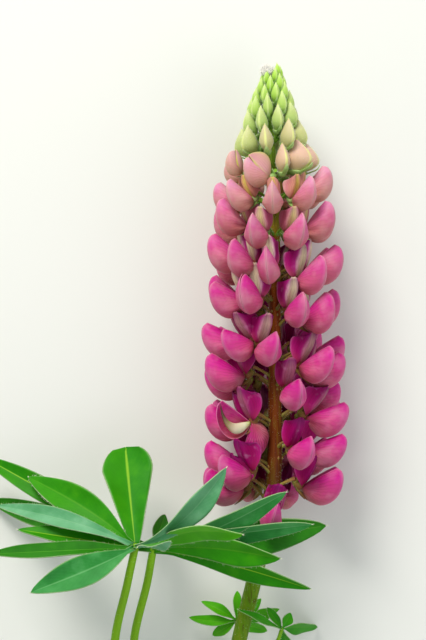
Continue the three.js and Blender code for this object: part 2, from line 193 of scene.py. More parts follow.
def smooth_path(points, steps):
    """Points on a smooth curve through the given ones, with the curve's direction at each."""
    tables = [[(i, p[a]) for i, p in enumerate(points)] for a in range(3)]
    line = []
    for k in range(steps + 1):
        s = k / steps * (len(points) - 1)
        line.append(Vector([along(table, s) for table in tables]))
    ways = [(line[min(k + 1, steps)] - line[max(k - 1, 0)]).normalized() for k in range(steps + 1)]
    return line, ways


def stem_at(y):
    """Centre, direction and radius of the stem at a height along the spike."""
    def value(column, height):
        return along([(p[1], p[column]) for p in STEM_LINE], height)

    centre = Vector((value(0, y), y, value(2, y)))
    near = Vector((value(0, y + 1), y + 1, value(2, y + 1)))
    return centre, (near - centre).normalized(), value(3, y)


def outward_at(azimuth, up):
    """The way out from the stem at an angle in radians from straight up, square to the stem."""
    out = Vector((sin(azimuth), 0, cos(azimuth)))
    return (out - up * out.dot(up)).normalized()


def on_stem(y, azimuth):
    """The frame of something growing from the stem: x outward, z up the stem, at the stem's centre."""
    centre, up, radius = stem_at(y)
    out = outward_at(radians(azimuth), up)
    return Matrix.Translation(centre) @ Matrix((out, up.cross(out), up)).transposed().to_4x4(), radius


def turn_about(axis, degrees):
    return Matrix.Rotation(radians(degrees), 4, axis)


# ---------------- modelling helpers
def pick(*objs):
    bpy.ops.object.select_all(action="DESELECT")
    for obj in objs:
        obj.select_set(True)
    bpy.context.view_layer.objects.active = objs[0]


def modify(obj, kind, **settings):
    pick(obj)
    bpy.ops.object.modifier_add(type=kind)
    modifier = obj.modifiers[-1]
    for key, value in settings.items():
        setattr(modifier, key, value)
    bpy.ops.object.modifier_apply(modifier=modifier.name)


def tidy_shell(obj, open_ends=False):
    """Welds a shell's points, fills its open ends where it has them, and turns its faces outward."""
    pick(obj)
    bpy.ops.object.mode_set(mode="EDIT")
    bpy.ops.mesh.select_all(action="SELECT")
    bpy.ops.mesh.remove_doubles(threshold=WELD)
    if open_ends:
        bpy.ops.mesh.select_all(action="DESELECT")
        bpy.ops.mesh.select_mode(type="EDGE")
        bpy.ops.mesh.select_non_manifold()
        bpy.ops.mesh.edge_face_add()
        bpy.ops.mesh.select_mode(type="VERT")
        bpy.ops.mesh.select_all(action="SELECT")
    bpy.ops.mesh.normals_make_consistent(inside=False)
    bpy.ops.object.mode_set(mode="OBJECT")


def laid_grid(name, across, lengthwise, place, material):
    """A grid laid point by point, because its double curve is beyond a single operator. place takes u from -1
    to 1 across and v from 0 to 1 along."""
    bpy.ops.object.select_all(action="DESELECT")
    bpy.ops.mesh.primitive_grid_add(x_subdivisions=across, y_subdivisions=lengthwise, size=2)
    obj = bpy.context.active_object
    obj.name = name
    for vertex in obj.data.vertices:
        vertex.co = Vector(place(vertex.co.x, (vertex.co.y + 1) / 2))
    obj.data.materials.append(material)
    return obj


def sheet(name, across, lengthwise, place, material, thickness, back=None, offset=0.0):
    """A petal or blade: a laid grid given its thickness."""
    obj = laid_grid(name, across, lengthwise, place, material)
    if back:
        obj.data.materials.append(back)
    modify(obj, "SOLIDIFY", thickness=thickness, offset=offset, material_offset=1 if back else 0)
    tidy_shell(obj)
    bpy.ops.object.shade_smooth()
    return obj


def pod(name, sides, rings, place, material):
    """A closed pod: a grid rolled round by its place function and its ends filled."""
    obj = laid_grid(name, sides, rings, place, material)
    tidy_shell(obj, open_ends=True)
    bpy.ops.object.shade_smooth()
    return obj


def tube(name, line, ways, radii, sides, material, lumps=None):
    """A stalk: a grid rolled round the line, each ring at its own point and with its own radius."""
    last = len(line) - 1
    side = ways[0].orthogonal().normalized()
    frames = []
    for way in ways:
        side = (side - way * side.dot(way)).normalized()
        frames.append((side.copy(), way.cross(side)))

    def place(u, v):
        i = round(v * last)
        turn = (u + 1) * pi
        radius = radii[i] * (1 + (lumps(turn, i) if lumps else 0))
        a, b = frames[i]
        return line[i] + (a * cos(turn) + b * sin(turn)) * radius

    obj = pod(name, sides, last, place, material)
    bpy.ops.object.shade_smooth_by_angle(angle=radians(50))
    return obj


def closed_round(name, place, material, sides, rings):
    """A closed body from a ball, each ring laid by place(turn, v, ring), where ring is 0 at the two poles."""
    bpy.ops.object.select_all(action="DESELECT")
    bpy.ops.mesh.primitive_uv_sphere_add(segments=sides, ring_count=rings, radius=1)
    obj = bpy.context.active_object
    obj.name = name
    for vertex in obj.data.vertices:
        x, y, z = vertex.co
        v = 1 - acos(max(-1, min(1, z))) / pi
        vertex.co = Vector(place(atan2(y, x), v, 0 if hypot(x, y) < 1e-5 else 1))
    obj.data.materials.append(material)
    tidy_shell(obj)
    bpy.ops.object.shade_smooth()
    return obj


def dome(name, centre, axes, across, height, material, sides, rings):
    """A ball or flattened ball: across is its radius and height its half height along the third axis."""
    first, second, third = axes

    def place(turn, v, ring):
        out = ring * across * sin(pi * v)
        up = -height * cos(pi * v)
        return centre + first * (out * cos(turn)) + second * (out * sin(turn)) + third * up

    return closed_round(name, place, material, sides, rings)


def joined(name, parts):
    pick(*parts)
    bpy.ops.object.join()
    obj = bpy.context.active_object
    obj.name = name
    return obj


def copy_of(pattern, name):
    obj = bpy.data.objects.new(name, pattern.data.copy())
    obj.data.name = name
    bpy.context.collection.objects.link(obj)
    return obj


def hairs(name, roots, material):
    """Fine hairs: each root is (place, direction, length, thickness); a hair is a three-sided spike."""
    verts, faces = [], []
    for place, way, length, thick in roots:
        side = way.orthogonal().normalized()
        other = way.cross(side)
        n = len(verts)
        for k in range(3):
            turn = k * tau / 3
            verts.append(place + (side * cos(turn) + other * sin(turn)) * thick)
        verts.append(place + way * length)
        faces += [(n, n + 1, n + 3), (n + 1, n + 2, n + 3), (n + 2, n, n + 3), (n, n + 2, n + 1)]
    mesh = bpy.data.meshes.new(name)
    mesh.from_pydata([tuple(v) for v in verts], [], faces)
    mesh.uv_layers.new(name="UVMap")
    obj = bpy.data.objects.new(name, mesh)
    bpy.context.collection.objects.link(obj)
    mesh.materials.append(material)
    return obj


def rough_down(count, shape, seed, length, spread=0.5):
    """Hairs on a stretch of stalk or cup: shape gives the axis and radius for s from 0 to 1."""
    own = random.Random(seed)
    roots = []
    for _ in range(count):
        point, radius = shape(own.random())
        turn = own.uniform(0, tau)
        way = Vector((own.uniform(-spread, spread), cos(turn), sin(turn))).normalized()
        root = Vector(point) + Vector((0, cos(turn), sin(turn))) * radius * 0.92
        roots.append((root, way, length * own.uniform(0.6, 1.2), HAIR_THICK))
    return roots


def stamp(obj, name, value):
    """One number for the whole piece, carried by its mesh for the materials to read."""
    layer = obj.data.attributes.get(name) or obj.data.attributes.new(name, "FLOAT", "POINT")
    layer.data.foreach_set("value", [value] * len(obj.data.vertices))


def settle(obj, slot, *nodes):
    """Moves a piece from millimetres round the lowest whorl into the frame, in place of the part's nodes."""
    for vertex in obj.data.vertices:
        x, y, z = vertex.co
        vertex.co = Vector(((x + ORIGIN_X) * MM, (y + ORIGIN_Y) * MM, max(z, LOWEST) * MM))
    obj.data.update()
    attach(obj, "root")
    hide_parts(*nodes)


# ---------------- material helpers
def linear(hex_colour):
    def channel(c):
        c /= 255
        return c / 12.92 if c <= 0.04045 else ((c + 0.055) / 1.055) ** 2.4

    value = int(hex_colour.lstrip("#"), 16)
    return tuple(channel((value >> shift) & 255) for shift in (16, 8, 0)) + (1.0,)


def feed(socket, value):
    """Gives an input a number, a few numbers or a hex colour, or joins it to another node's output."""
    if isinstance(value, str):
        socket.default_value = linear(value)
    elif isinstance(value, (int, float, tuple)):
        socket.default_value = value
    else:
        socket.id_data.links.new(value, socket)


def node(tree, kind, inputs, **settings):
    """Adds a node with its settings; inputs goes from an input's name or number to what feeds it."""
    new = tree.nodes.new(kind)
    for key, value in settings.items():
        setattr(new, key, value)
    for name, value in inputs.items():
        feed(new.inputs[name], value)
    return new


def plain(name, roughness, sheen=0.0, subsurface=0.0, gloss=0.5, radius=(1.0, 0.3, 0.4)):
    """A new material's node tree, and the function that gives it its colour and hands the material back."""
    material = bpy.data.materials.new(name)
    material.use_nodes = True
    tree = material.node_tree
    shader = next(n for n in tree.nodes if n.type == "BSDF_PRINCIPLED")
    finish = {
        "Roughness": roughness, "Specular IOR Level": gloss, "Sheen Weight": sheen, "Sheen Roughness": 0.4,
        "Subsurface Weight": subsurface, "Subsurface Radius": radius, "Subsurface Scale": 1.2 * MM,
    }
    for key, value in finish.items():
        feed(shader.inputs[key], value)

    def paint(base):
        feed(shader.inputs["Base Color"], base)
        return material

    return tree, paint


# The next functions add a node to the tree their first input comes from, and give its output.
def ramp(factor, *stops):
    """Stops are (place, value), where a value is a hex colour or a grey from 0 to 1."""
    new = node(factor.id_data, "ShaderNodeValToRGB", {0: factor})
    elements = new.color_ramp.elements
    while len(elements) < len(stops):
        elements.new(0.5)
    for element, (place, colour) in zip(elements, stops):
        element.position = place
        element.color = linear(colour) if isinstance(colour, str) else (colour, colour, colour, 1.0)
    return new.outputs[0]


def maths(operation, *values, clamp=False):
    tree, inputs = values[0].id_data, dict(enumerate(values))
    return node(tree, "ShaderNodeMath", inputs, operation=operation, use_clamp=clamp).outputs[0]


def times(a, b):
    return maths("MULTIPLY", a, b)


def scaled(value, factor, add, clamp=False):
    return maths("MULTIPLY_ADD", value, factor, add, clamp=clamp)


def from_middle(u):
    """0 along the middle line of a petal or blade and 1 at both its edges."""
    return maths("ABSOLUTE", scaled(u, 2.0, -1.0))


def mixed(factor, a, b):
    return node(factor.id_data, "ShaderNodeMix", {0: factor, 6: a, 7: b}, data_type="RGBA").outputs[2]


def noise(tree, scale, detail=2.0, vector=None):
    """Cloudy noise in the object's own space, or over another vector."""
    if vector is None:
        vector = node(tree, "ShaderNodeTexCoord", {}).outputs["Object"]
    inputs = {"Vector": vector, "Scale": scale, "Detail": detail}
    return node(tree, "ShaderNodeTexNoise", inputs).outputs["Fac"]


def map_places(tree):
    """u across and v along, from the piece's own map."""
    uv = node(tree, "ShaderNodeUVMap", {}, uv_map="UVMap")
    parts = node(tree, "ShaderNodeSeparateXYZ", {0: uv.outputs[0]})
    return parts.outputs[0], parts.outputs[1]


def stamped(tree, name):
    return node(tree, "ShaderNodeAttribute", {}, attribute_name=name).outputs["Fac"]


def veins(tree, u, v, count, sharp):
    """Fine lines running from the petal's base to its edge, wandering a little, otherwise on each flower."""
    vector = node(tree, "ShaderNodeCombineXYZ", {0: u, 1: v, 2: stamped(tree, "own")}).outputs[0]
    shifted = scaled(noise(tree, 5.0, vector=vector), 0.10, u)
    wave = maths("SINE", times(shifted, count * tau))
    return maths("POWER", scaled(wave, 0.5, 0.5), sharp)


# ---------------- materials
def make_wing_material(name, veined):
    # Lupin wing petal: a thin watery skin over air, so it glows a little and shines softly.
    tree, paint = plain(name, 0.46, subsurface=0.2, gloss=0.2)
    # u is 0 at the foot of the free edge and 1 at its upper corner; v runs from the claw to the free edge
    u, v = map_places(tree)
    age = stamped(tree, "age")
    rise = maths("ADD", scaled(u, 0.86, 0.06), times(v, 0.1))
    rise = maths("ADD", rise, scaled(noise(tree, 420, 3), 0.24, -0.12), clamp=True)
    old = ramp(rise, (0, "#bc7c72"), (0.22, "#c26a70"), (0.45, "#c65676"), (0.66, "#cc4082"),
               (0.84, "#d22890"), (1, "#c40c80"))
    young = ramp(rise, (0, "#bc9c68"), (0.28, "#c48c70"), (0.55, "#cb767c"), (0.76, "#d66c96"),
                 (0.88, "#e288b6"), (1, "#e078b0"))
    shut = ramp(rise, (0, "#c0b870"), (0.3, "#ceac88"), (0.6, "#d8a294"), (1, "#e6aeb8"))
    base = mixed(scaled(age, 2.2, -0.75, clamp=True), young, old)
    base = mixed(scaled(age, -5.0, 1.9, clamp=True), base, shut)
    fade = ramp(v, (0, 1), (0.4, 0.75), (0.75, 0.3), (0.95, 0))
    streak = times(times(veins(tree, u, v, 15, 4.0), fade), veined)
    base = mixed(streak, base, mixed(age, "#a8584c", "#8a0f44"))
    # pale patches where the skin is stretched
    cloud = ramp(noise(tree, 150, 3), (0.46, 0), (0.7, 0.36))
    base = mixed(cloud, base, mixed(age, "#e6c4a4", "#dc94ac"))
    # darker toward the claw: the claw's own colour, with painted shade where it sinks into the calyx
    foot = ramp(v, (0, 0.8), (0.12, 0.4), (0.3, 0))
    base = mixed(foot, base, mixed(age, "#a8843a", "#9c2f4a"))
    # painted rim light: the wing is paler along its free edge and at both ends of it, as if lit from behind
    painted_rim_light = ramp(v, (0.88, 0), (0.95, 0.35), (0.985, 0.85), (1, 1))
    ends = ramp(u, (0, 1), (0.02, 0), (0.975, 0), (1, 1))
    edge = times(maths("MAXIMUM", painted_rim_light, ends), 0.45)
    return paint(mixed(edge, base, mixed(age, "#ecd6ae", "#e49cba")))


def make_banner_material():
    # Lupin banner petal: thicker and darker than the wings, its middle groove pale while it is young.
    tree, paint = plain("banner_petal", 0.45, gloss=0.1)
    u, v = map_places(tree)
    age = stamped(tree, "age")
    uneven = scaled(noise(tree, 330, 3), 0.16, -0.08)
    out = maths("ADD", from_middle(u), uneven, clamp=True)
    last = ramp(out, (0, "#a02c74"), (0.12, "#980e64"), (0.25, "#98005e"), (0.6, "#9a0058"),
                (0.92, "#ac1270"), (1, "#c65498"))
    old = ramp(out, (0, "#e4dab0"), (0.16, "#e0ccb0"), (0.26, "#dca8ba"), (0.36, "#b8308a"),
               (0.6, "#a40a6c"), (0.9, "#b02078"), (1, "#d884b4"))
    young = ramp(out, (0, "#dcd060"), (0.1, "#dcbc6c"), (0.24, "#d6987e"), (0.7, "#d88a90"),
                 (1, "#e6b4b0"))
    shut = ramp(out, (0, "#dce490"), (0.06, "#d6c498"), (0.3, "#deb2a8"), (0.8, "#deaaaa"),
                (0.92, "#d6c088"), (0.96, "#d4e04c"), (1, "#dcea5c"))
    base = mixed(scaled(age, 4.0, -1.5, clamp=True), young, old)
    base = mixed(scaled(age, 5.0, -3.8, clamp=True), base, last)
    base = mixed(scaled(age, -10.0, 3.3, clamp=True), base, shut)
    # painted highlights: pale flecks scattered at random over the middle of old banners
    highlight_noise = ramp(noise(tree, 260), (0.6, 0), (0.76, 0.42))
    painted_highlights = times(highlight_noise, ramp(v, (0.25, 0), (0.45, 1), (0.8, 0.6), (0.95, 0)))
    base = mixed(times(painted_highlights, age), base, "#d79cc6")
    foot = times(ramp(v, (0, 1), (0.12, 0.75), (0.32, 0)), 0.55)
    base = mixed(foot, base, mixed(age, "#a89c4a", "#a01a42"))
    crown = ramp(v, (0.7, 0), (0.93, 0.75), (1, 0.3))
    base = mixed(times(crown, age), base, "#701058")
    lines = times(veins(tree, u, v, 16, 5.0), 0.25)
    return paint(mixed(lines, base, mixed(age, "#a0604c", "#560338")))


def make_keel_material():
    # Keel: two petals grown into one waxy cream boat with a dark point.
    tree, paint = plain("keel_petal", 0.38, subsurface=0.2)
    _, v = map_places(tree)
    return paint(ramp(v, (0, "#b8cc5c"), (0.22, "#eceac4"), (0.5, "#dccfae"), (0.68, "#a08c5c"),
                      (0.82, "#5c4428"), (1, "#30120e")))


def make_green_material(name, roughness, sheen, *stops):
    # Skin of a calyx or stalk: matt, finely mottled, its colour changing from foot to tip.
    tree, paint = plain(name, roughness, sheen=sheen, subsurface=0.08, gloss=0.3, radius=(0.5, 1.0, 0.2))
    _, v = map_places(tree)
    mottle = times(noise(tree, 1400), 0.3)
    return paint(mixed(mottle, ramp(v, *stops), "#3f4a12"))


def make_bud_material():
    # Closed bud: downy and matt, lime green while young, then beige and dusty pink as the petals show.
    tree, paint = plain("bud_skin", 0.55, sheen=0.3, subsurface=0.15, gloss=0.3, radius=(0.8, 1.0, 0.3))
    u, v = map_places(tree)
    age = stamped(tree, "age")
    green = ramp(v, (0, "#6c9c14"), (0.3, "#9ccc38"), (0.7, "#b0dc54"), (1, "#dcf09c"))
    beige = ramp(v, (0, "#88b040"), (0.3, "#a8c868"), (0.65, "#b8cc78"), (1, "#dce4a4"))
    pink = ramp(v, (0, "#b4b86c"), (0.2, "#d0b88c"), (0.55, "#dab49c"), (1, "#e4bcae"))
    base = mixed(scaled(age, 2.2, 0.0, clamp=True), green, beige)
    base = mixed(scaled(age, 3.2, -2.2, clamp=True), base, pink)
    middle = from_middle(u)
    # painted highlight: a pale stripe up the front ridge, stronger on older buds
    rib = times(ramp(middle, (0, 1), (0.035, 0.8), (0.08, 0)), scaled(age, 0.4, 0.4))
    base = mixed(rib, base, mixed(age, "#e0f4a4", "#e4ec8c"))
    # painted rim light: a lime stripe up the back ridge
    painted_rim_light = times(ramp(middle, (0.86, 0), (0.94, 0.8), (1, 1)), 0.8)
    return paint(mixed(painted_rim_light, base, mixed(age, "#c8ec60", "#cfd84c")))


def make_stem_material():
    # Lupin stem: green rind, flushed red-brown among the flowers, with short streaks along it.
    tree, paint = plain("stem_rind", 0.5, gloss=0.16)
    coords = node(tree, "ShaderNodeTexCoord", {}).outputs["Object"]
    parts = node(tree, "ShaderNodeSeparateXYZ", {0: coords})
    low, high = (-134 + ORIGIN_Y) * MM, (171 + ORIGIN_Y) * MM
    height = node(tree, "ShaderNodeMapRange", {0: parts.outputs[1], 1: low, 2: high}).outputs[0]
    base = ramp(height, (0, "#5f8410"), (0.36, "#5e8a04"), (0.42, "#5e6408"), (0.47, "#5c340a"),
                (0.52, "#6e3208"), (0.62, "#843c0a"), (0.72, "#a04812"), (0.8, "#8c5a0c"), (0.86, "#8ca42c"),
                (0.92, "#9cc840"), (1, "#9ccc48"))
    drawn_out = node(tree, "ShaderNodeMapping", {"Vector": coords, "Scale": (1, 0.08, 1)}).outputs[0]
    streak = noise(tree, 900, 3, drawn_out)
    base = mixed(ramp(streak, (0.5, 0), (0.74, 0.45)), base, "#8a8a22")
    return paint(mixed(ramp(streak, (0.3, 0.65), (0.48, 0)), base, "#4a1a08"))


def make_cut_material(name, dark, light):
    # Fresh cut tissue: pale and moist, with fine specks where its vessels end.
    tree, paint = plain(name, 0.4, subsurface=0.2, gloss=0.3, radius=(0.8, 1.0, 0.5))
    return paint(ramp(noise(tree, 2400), (0.35, dark), (0.6, light)))


def make_leaf_material(name, dark, mid, light, rib_colour, clear=0.45):
    # Lupin leaflet: matt and softly mottled, with a clear midrib, faint side veins and a pale margin.
    tree, paint = plain(name, 0.5, subsurface=0.05, gloss=0.14, radius=(0.4, 1.0, 0.15))
    u, v = map_places(tree)
    base = ramp(noise(tree, 160, 3), (0.1, dark), (0.5, mid), (0.95, light))
    # painted sheen: one half of the blade is lighter, as light falls on it
    base = mixed(ramp(u, (0.42, 0.3), (0.52, 0)), base, light)
    base = mixed(times(noise(tree, 2600), 0.12), base, light)
    out = from_middle(u)
    # side veins leave the midrib at a sharp angle, about 3 mm apart
    feather = maths("SINE", scaled(v, 110.0, times(out, -26.0)))
    base = mixed(ramp(scaled(feather, 0.5, 0.5), (0.9, 0), (1, 0.12)), base, light)
    rib = ramp(out, (0, 1), (0.03, 0.8), (0.075, 0))
    base = mixed(times(rib, clear), base, rib_colour)
    return paint(mixed(ramp(out, (0.93, 0), (1, 0.55)), base, "#b8cf9a"))


def make_hair_material():
    # Plant hair: clear and silvery, bright where light catches it.
    _, paint = plain("plant_hair", 0.45, sheen=0.2)
    return paint("#e9ecd2")


def make_wool_material():
    # Wool of the spike's tip: a white tuft of down that scatters all the light it gets.
    _, paint = plain("tip_wool", 0.7, sheen=0.5, subsurface=0.4, gloss=0.2, radius=(1, 1.0, 0.9))
    return paint("#fffdf6")


WING = make_wing_material("wing_petal", 0.4)
WING_DROPPED = make_wing_material("dropped_wing_petal", 1.0)
BANNER = make_banner_material()
KEEL = make_keel_material()
CALYX = make_green_material("calyx_skin", 0.6, 0.1, (0, "#8a8a30"), (0.45, "#8a6c2e"), (1, "#8c4434"))
PEDICEL = make_green_material("pedicel_skin", 0.55, 0.1, (0, "#94923a"), (0.5, "#a8843c"), (1, "#a86a48"))
CALYX_YOUNG = make_green_material(
    "young_calyx_skin", 0.6, 0.25, (0, "#8cb850"), (0.5, "#9cc868"), (1, "#bcd48c"))
PEDICEL_YOUNG = make_green_material(
    "young_pedicel_skin", 0.55, 0.25, (0, "#80b82c"), (0.5, "#8cc434"), (1, "#80b42c"))
BUD = make_bud_material()
RIND = make_stem_material()
# what the face and the back of a blade can show: their own colours, and copies with light or shade painted in
LEAF_SIDES = {
    # blue-green and dull
    "top": make_leaf_material("leaf_upper_side", "#186a24", "#2c8636", "#58a860", "#84c884"),
    # pure green, with a bright midrib
    "under": make_leaf_material("leaf_underside", "#187200", "#248400", "#409a02", "#98cc30", 0.8),
    # a lighter green, as light falls on it
    "fresh": make_leaf_material("leaf_painted_light", "#1c7600", "#2a8a02", "#46a008", "#70b828", 0.3),
    # bright yellow-green, as light comes through it
    "lit": make_leaf_material("leaf_against_light", "#389400", "#46a804", "#60bc10", "#8ccc38", 0.3),
    # grey-green: the silvery hairs' own grey, with painted sheen over it
    "bloom": make_leaf_material("leaf_grey_hair_and_sheen", "#3c8c50", "#58a06c", "#84c094", "#98cca0", 0.3),
    # dark green, darker than either side: painted shade for blades that lie in shadow
    "mixed": make_leaf_material("leaf_painted_shade", "#186204", "#227408", "#368c12", "#60a834"),
}
PETIOLE = make_green_material("petiole_rind", 0.6, 0.0, (0, "#6ca400"), (0.5, "#7ab400"), (1, "#80b804"))
CUT_RIND = make_cut_material("cut_rind", "#86a850", "#b4cc7c")
PITH = make_cut_material("cut_pith", "#c4cc9c", "#e8ecd0")
HAIR = make_hair_material()
WOOL = make_wool_material()

# ---------------- flower patterns
# Flower coordinates in millimetres: x away from the stem, z up the spike, y round it, 0 at the wings' claw.
# the free edge of a wing, from its foot underneath, round its blunt end, to its upper corner
EDGE_X = ((-1, 0.7), (-0.75, 3.4), (-0.5, 7.2), (-0.25, 11.0), (0, 14.0), (0.25, 15.9), (0.5, 16.6),
          (0.75, 16.0), (1, 14.0))
EDGE_Z = ((-1, -2.2), (-0.75, -5.2), (-0.5, -6.6), (-0.25, -5.6), (0, -3.1), (0.25, 0.4), (0.5, 4.0),
          (0.75, 7.0), (1, 8.6))
# where round its edge a wing is plumpest
CREST = 0.1
# the banner's width and how far its sides fold back, from its foot to its top
BANNER_WIDTHS = ((0, 0.2), (0.1, 0.46), (0.25, 0.78), (0.42, 0.97), (0.58, 1.0), (0.76, 0.9), (0.9, 0.68),
                 (1, 0.44))
BANNER_FOLDS = ((0, 0.5), (0.25, 0.9), (0.6, 1.0), (1, 0.9))
# half the width of the banner's groove, and the radius of the bend on each side of it
GROOVE, BEND = 1.3, 1.3
WING_THICK, BANNER_THICK, LIP_THICK = 0.22, 0.26, 0.24
PEDICEL_SPAN = 6.2
CLAW_TO_CALYX = Vector((-3.4, 0, 2.1))
# how far the wings' claw of a full-sized flower is from the stem's middle
CLAW_REACH = 12.4


def wing_place(side, plump, gape, wrinkle, seed):
    """u runs round the free edge, v from the claw to that edge, so the veins fan out as in the petal."""
    def place(u, v):
        t = 1 - (1 - v) ** 1.35
        arc = sin(pi * t)
        upper = max(u, 0)
        w = (u - CREST) / (1 - CREST if u > CREST else 1 + CREST)
        round_u = max(1 - abs(w) ** 1.5, 0) ** 0.86
        round_v = max(4 * t * (1 - t), 0) ** 0.74 * (0.82 + 0.36 * t)
        # the two edges press together into a fine lip
        lip = 1 - 0.42 * exp(-(((1 - t) / 0.045) ** 2))
        bulge = plump * round_u * round_v * lip
        waves = sin(u * 7.0 + seed) + 0.8 * sin(u * 3.1 + t * 5.0 + 2 * seed)
        waves += 0.6 * sin(u * 10.0 - t * 7.0 + 3 * seed)
        opening = gape * upper**3 * sin(pi * t * 0.9)
        out = bulge + wrinkle * waves * arc * round_u + opening + 0.06
        return (along(EDGE_X, u) * t, side * out, along(EDGE_Z, u) * t + 0.4 * upper**2 * arc)

    return place


def banner_place(spread, lean, height, flank, seed):
    """Banner: a broad groove up the middle, both sides folded back, the shoulders a little recurved."""
    tilt = radians(lean)

    def place(u, v):
        reach = abs(u) * (flank + 1.6) * along(BANNER_WIDTHS, v)
        angle = radians(spread * along(BANNER_FOLDS, v))
        if reach <= GROOVE:
            out, back = reach, 0.5 * (1 - (reach / GROOVE) ** 2)
        elif reach <= GROOVE + BEND * angle:
            a = (reach - GROOVE) / BEND
            out, back = GROOVE + BEND * sin(a), BEND * (1 - cos(a))
        else:
            more = reach - GROOVE - BEND * angle
            flare = 0.016 * more * more
            out = GROOVE + BEND * sin(angle) + more * cos(angle) + flare
            back = BEND * (1 - cos(angle)) + more * sin(angle)
        ripple = 0.2 * sin(v * 7 + seed + u * 2) * abs(u) + 0.12 * sin(v * 13 + 2 * seed - u * 5) * v
        corner = 4.6 * abs(u) ** 2.0 * v**3
        notch = 0.45 * exp(-((u / 0.12) ** 2)) * v**8
        x = -back + 0.7 * sin(pi * v * 0.9) - 1.3 * v**4
        y = (out + ripple) * (1 if u >= 0 else -1)
        z = height * v - corner - notch
        return (0.2 + x * cos(tilt) + z * sin(tilt), y, 0.9 + z * cos(tilt) - x * sin(tilt))

    return place


def hood_place(ridge, drop, wide):
    """Banner of a flower still shut: folded along its middle like a hood over the top of the wings, its ridge
    toward the stem and its two edges lying down the sides of the wings."""
    def place(u, v):
        rise = ridge * sin(pi * min(max(v, 0.0), 1.0)) ** 0.75 + 0.35
        fall = -drop * sin(pi * v**0.85) ** 0.8
        offset = rise + (fall - rise) * abs(u) ** 1.15
        out = wide * sin(pi * v**0.9) ** 0.7 * sin(min(abs(u) * 1.25, 1) * pi / 2) + 0.16 * abs(u)
        x, z = 0.1 + 14.1 * v, 0.3 + 8.7 * v + 0.4 * v * v
        return (x - 0.525 * offset, out if u >= 0 else -out, z + 0.851 * offset)

    return place


def keel_place(u, v):
    """Keel: a pod curved up like a sickle, drawn out to a point."""
    turn = (u + 1) * pi
    x = along(((0, 0.4), (0.28, 4.4), (0.5, 8.2), (0.72, 11.8), (0.88, 14.0), (1, 15.0)), v)
    z = along(((0, -0.2), (0.28, -2.0), (0.5, -2.2), (0.72, 0.2), (0.88, 3.8), (1, 7.4)), v)
    deep = along(((0, 0.7), (0.28, 2.1), (0.5, 2.0), (0.7, 1.25), (0.85, 0.66), (0.95, 0.3), (1, 0.05)), v)
    wide = along(((0, 0.5), (0.28, 1.2), (0.5, 1.1), (0.7, 0.7), (0.85, 0.42), (0.95, 0.2), (1, 0.04)), v)
    lean = along(((0, 0.0), (0.6, 0.2), (0.85, 0.8), (1, 1.2)), v)
    return (x - deep * sin(turn) * sin(lean), wide * cos(turn), z + deep * sin(turn) * cos(lean))


def lip_place(path, width):
    """A calyx lip: a pointed blade following a path in the flower's plane, cupped round the petals."""
    tables = [[(i / (len(path) - 1), p[a]) for i, p in enumerate(path)] for a in range(2)]

    def place(u, v):
        half = width / 2 * along(((0, 0.75), (0.3, 1.0), (0.7, 0.72), (0.9, 0.36), (1, 0.06)), v)
        here, behind, ahead = (
            Vector([along(table, s) for table in tables]) for s in (v, max(v - 0.02, 0), min(v + 0.02, 1)))
        way = (ahead - behind).normalized()
        cup = 0.5 * u * u * half
        return (here.x + way.y * cup, u * half, here.y - way.x * cup)

    return place


def cup_place(turn, v, ring):
    """Calyx cup, its mouth turned down over the claws of the petals."""
    radius = ring * along(((0, 0.5), (0.2, 1.1), (0.55, 1.75), (0.85, 1.7), (1, 0.6)), v)
    centre_x = along(((0, -3.8), (0.5, -1.9), (1, 0.4)), v)
    centre_z = along(((0, 2.3), (0.5, 1.1), (1, -0.2)), v)
    return (centre_x + 0.5 * radius * sin(turn), radius * cos(turn), centre_z + 0.87 * radius * sin(turn))


def calyx_parts(seed, skin):
    cup = closed_round("cup", cup_place, skin, 12, 8)
    under = lip_place(((-2.2, 0.7), (-1.1, -0.9), (0.3, -2.7), (2.1, -4.9)), 2.6)
    over = lip_place(((-2.8, 2.0), (-2.1, 3.6), (-1.0, 5.2)), 3.2)
    lower = sheet("lip", 6, 8, under, skin, LIP_THICK)
    upper = sheet("lip", 6, 6, over, skin, LIP_THICK)

    def cup_axis(s):
        return (-3.6 + 4.0 * s, 0, 2.1 - 2.4 * s), 1.1 + 0.7 * sin(pi * s)

    return [cup, lower, upper, hairs("down", rough_down(40, cup_axis, seed, 0.7, 0.3), HAIR)]


def wing(side, plump, gape, wrinkle, seed):
    return sheet("wing", 20, 16, wing_place(side, plump, gape, wrinkle, seed + side), WING, WING_THICK)


def open_flower(kind, plump, gape, spread, lean, height, flank, seed):
    """An open flower without its stalk: two wings shut into a pouch, the banner folded back over them, the
    calyx. A burst one has dropped a wing and shows its keel."""
    parts = [wing(side, plump, gape, 0.3, seed) for side in (1, -1)]
    burst = kind == "burst"
    if burst:
        # the wing hangs by its claw, its veins showing
        hang = Matrix.Translation((0, 0.6, 0)) @ turn_about("X", -14) @ turn_about("Y", 112)
        parts[0].data.materials[0] = WING_DROPPED
        parts[0].data.transform(hang)
    banner = banner_place(spread, lean, height, flank, seed)
    parts.append(sheet("banner", 26, 14, banner, BANNER, BANNER_THICK))
    if burst:
        parts.append(pod("keel", 14, 16, keel_place, KEEL))
    return joined(kind, parts + calyx_parts(seed, CALYX_YOUNG if kind == "young" else CALYX))


def shut_flower(name, plump, ridge, drop, wide, seed):
    """A flower about to open: the banner still lies over the pouch of the wings."""
    parts = [wing(side, plump, 0.0, 0.1, seed) for side in (1, -1)]
    parts.append(sheet("hood", 24, 16, hood_place(ridge, drop, wide), BANNER, BANNER_THICK))
    return joined(name, parts + calyx_parts(seed, CALYX_YOUNG))


def shut_bud(name, plump, depth, width):
    """A large bud in a flower's place: the banner wraps it whole."""
    bud = bud_pattern(name, plump, 0.06)
    grow = Matrix.Diagonal((depth, width, 17.2, 1))
    bud.data.transform(Matrix.Translation((-2.8, 0, 1.4)) @ turn_about("Y", 55) @ grow)
    return bud


